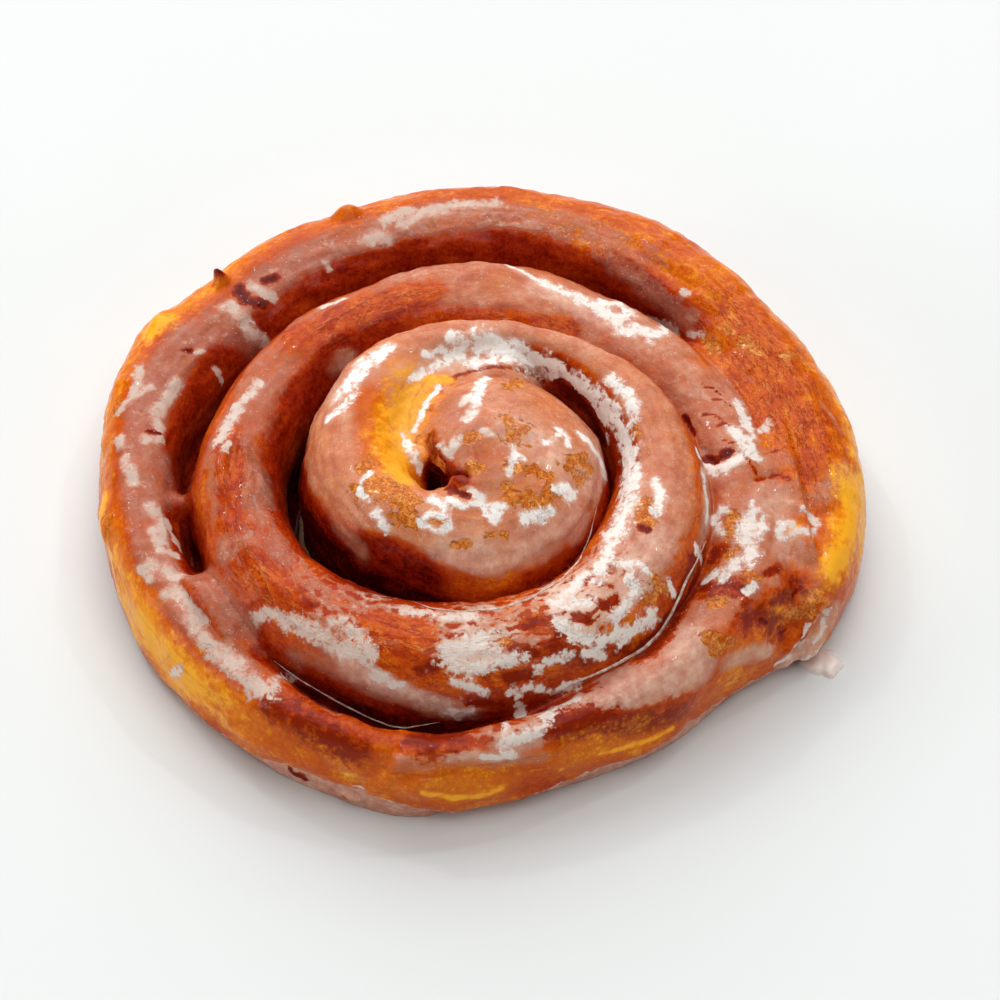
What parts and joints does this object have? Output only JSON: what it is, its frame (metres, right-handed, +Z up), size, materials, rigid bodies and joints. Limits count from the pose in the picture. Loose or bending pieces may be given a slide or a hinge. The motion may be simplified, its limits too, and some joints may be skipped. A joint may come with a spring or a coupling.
{
  "type": "cinnamon roll",
  "caption": "Glazed fried cinnamon roll: a strip of dough wound into a flat coil, highest in the middle, with a rounded tail end, standing on a flat base.",
  "frame": {"origin": "centre of the bounding box at the flat base, z = 0", "axes": "+Z up, through the middle of the coil; +X towards the side with the tail end; +Y towards the back, away from the tail's blunt end"},
  "size_m": [0.1248, 0.1198, 0.0345],
  "materials": {
    "fried_crust": "fried brown dough under a thin clear glaze with white patches"
  },
  "bodies": {
    "root": {"cinnamon_roll": "fried_crust"}
  },
  "joints": []
}
